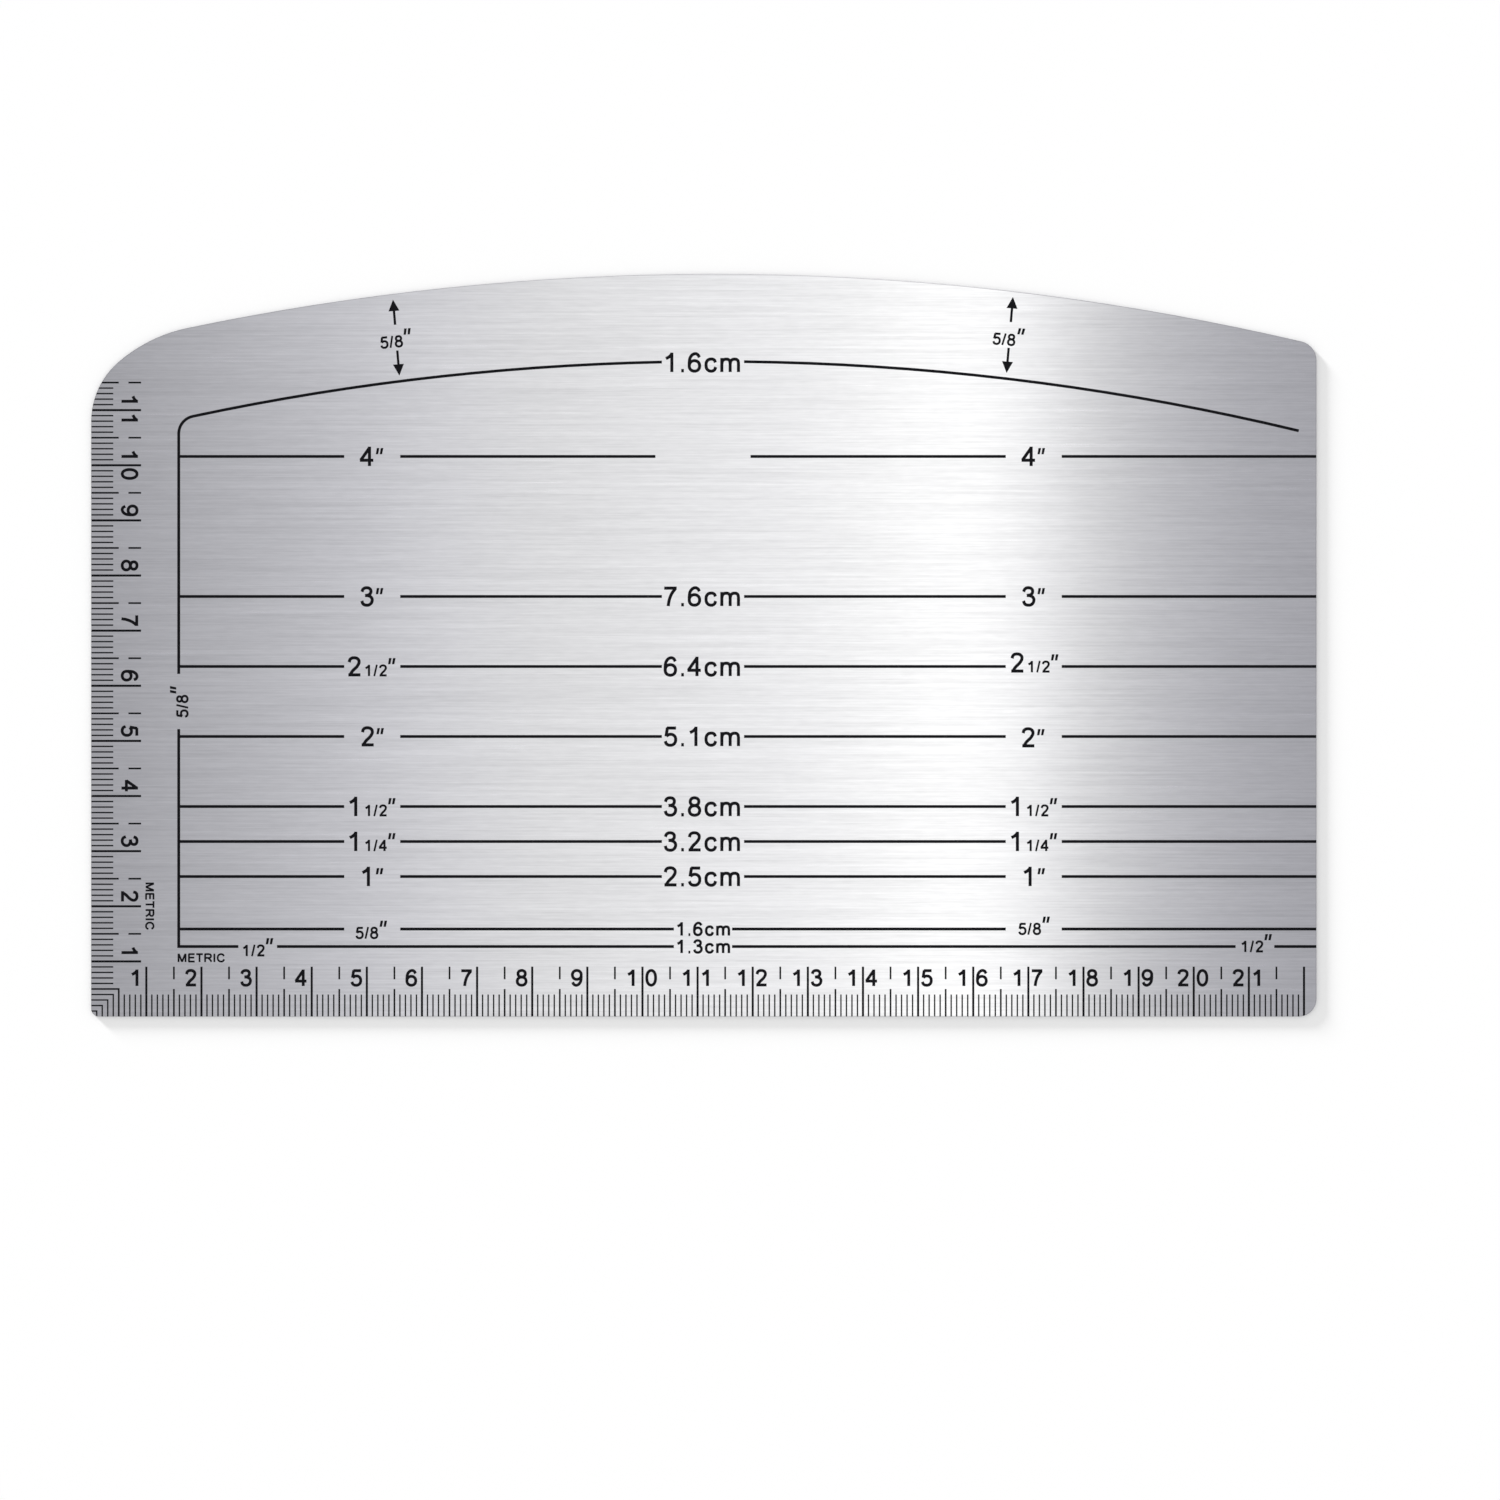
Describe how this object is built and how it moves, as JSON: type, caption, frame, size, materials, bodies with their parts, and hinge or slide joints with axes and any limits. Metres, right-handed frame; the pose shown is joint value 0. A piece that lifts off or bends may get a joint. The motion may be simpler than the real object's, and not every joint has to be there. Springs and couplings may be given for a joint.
{
  "type": "hot hem gauge",
  "caption": "Thin steel sheet with one straight edge, one curved edge and rounded corners, etched with hem lines and centimetre scales, for folding and pressing hems.",
  "frame": {"origin": "middle of the sheet's outline box, on its unmarked back face", "axes": "+X along the straight hem edge from low readings to high; +Y from the straight edge to the curved edge; +Z out of the marked face"},
  "size_m": [0.2222, 0.1348, 0.0006],
  "materials": {
    "brushed_steel": "stainless sheet brushed lengthwise, cut edges lightly broken",
    "black_enamel": "heat-proof black enamel baked flush in the etched lines"
  },
  "bodies": {
    "root": {"gauge_plate": "brushed_steel", "curved_and_upper_side_line": "black_enamel", "lower_side_line": "black_enamel", "curved_line_right": "black_enamel", "four_inch_line_middle_left": "black_enamel", "four_inch_line_middle_right": "black_enamel", "four_inch_line_right": "black_enamel", "three_inch_line_middle_left": "black_enamel", "three_inch_line_middle_right": "black_enamel", "three_inch_line_right": "black_enamel", "two_and_half_inch_line_middle_left": "black_enamel", "two_and_half_inch_line_middle_right": "black_enamel", "two_and_half_inch_line_right": "black_enamel", "two_inch_line_middle_left": "black_enamel", "two_inch_line_middle_right": "black_enamel", "two_inch_line_right": "black_enamel", "one_and_half_inch_line_middle_left": "black_enamel", "one_and_half_inch_line_middle_right": "black_enamel", "one_and_half_inch_line_right": "black_enamel", "one_and_quarter_inch_line_middle_left": "black_enamel", "one_and_quarter_inch_line_middle_right": "black_enamel", "one_and_quarter_inch_line_right": "black_enamel", "one_inch_line_middle_left": "black_enamel", "one_inch_line_middle_right": "black_enamel", "one_inch_line_right": "black_enamel", "five_eighths_inch_line_middle_left": "black_enamel", "five_eighths_inch_line_middle_right": "black_enamel", "five_eighths_inch_line_right": "black_enamel", "half_inch_line_middle_left": "black_enamel", "half_inch_line_middle_right": "black_enamel", "half_inch_line_right": "black_enamel", "left_arrow_outer": "black_enamel", "left_arrow_inner": "black_enamel", "right_arrow_outer": "black_enamel", "right_arrow_inner": "black_enamel"}
  },
  "joints": []
}
